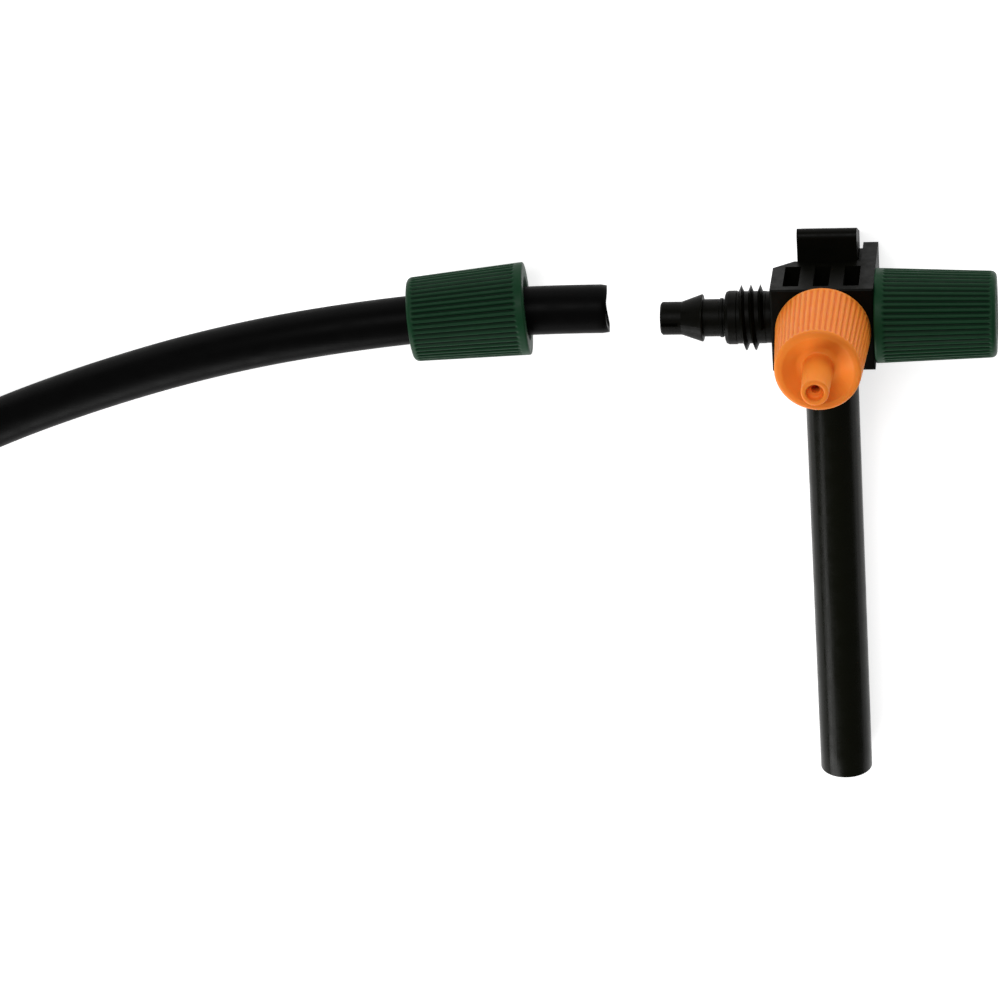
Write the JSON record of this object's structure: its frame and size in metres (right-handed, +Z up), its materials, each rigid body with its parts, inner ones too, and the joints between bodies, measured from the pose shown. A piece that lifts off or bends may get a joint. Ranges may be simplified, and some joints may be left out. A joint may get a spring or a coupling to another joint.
{
  "type": "barbed tee connector",
  "caption": "Moulded tee for micro tube: threaded barb spigots with ribbed hose nuts, an adjustable nozzle cap, a riser pipe in a split sleeve and a short feed hose.",
  "frame": {"origin": "on the surface that the tee lies on, under the middle of its box, measured without the feed hose and the nut on it", "axes": "+X along the two hose spigots, from the open one to the one with a nut; +Y from the riser's far end to the tee; +Z up, along the nozzle"},
  "size_m": [0.1725, 0.0888, 0.0375],
  "materials": {
    "tee_black": "satin injection-moulded black",
    "nut_green": "satin dark green, moulded grip ribs",
    "cap_orange": "satin orange, slightly translucent",
    "seal_rubber": "matte black",
    "core_black": "matte black",
    "plug_black": "satin black",
    "riser_black": "glossy extruded black",
    "hose_black": "satin extruded black"
  },
  "bodies": {
    "tee": {"tee_body": "tee_black", "flow_core": "core_black", "feed_hose": "hose_black"},
    "left_nut": {"left_nut": "nut_green"},
    "end_plug": {"end_plug": "plug_black"},
    "right_nut": {"right_nut": "nut_green"},
    "nozzle_seal": {"nozzle_seal": "seal_rubber"},
    "nozzle_cap": {"nozzle_cap": "cap_orange"},
    "riser": {"riser_pipe": "riser_black"}
  },
  "joints": [
    {"name": "left_nut_slide", "type": "slide", "parent": "tee", "child": "left_nut", "axis": [0.9952, 0.0539, -0.0819], "range_m": [-0.003, 0.002]},
    {"name": "end_plug_slide", "type": "slide", "parent": "tee", "child": "end_plug", "axis": [1, 0, 0], "range_m": [0, 0.00399]},
    {"name": "right_nut_screw", "type": "hinge", "parent": "end_plug", "child": "right_nut", "pos_m": [0.01457, 0.03377, 0.0123], "axis": [1, 0, 0], "range_deg": [0, 1080]},
    {"name": "nozzle_seal_slide", "type": "slide", "parent": "tee", "child": "nozzle_seal", "axis": [0, 0, 1], "range_m": [0, 0.00199]},
    {"name": "nozzle_cap_screw", "type": "hinge", "parent": "nozzle_seal", "child": "nozzle_cap", "pos_m": [-0.00042, 0.03377, 0.0223], "axis": [0, 0, 1], "range_deg": [0, 540]},
    {"name": "riser_slide", "type": "slide", "parent": "tee", "child": "riser", "axis": [0, -1, 0], "range_m": [0, 0.012]}
  ],
  "couplings": [
    {"joint": "right_nut_screw", "follows": "end_plug_slide", "rad_per_m": 4724.2},
    {"joint": "nozzle_cap_screw", "follows": "nozzle_seal_slide", "rad_per_m": 4724.2}
  ]
}
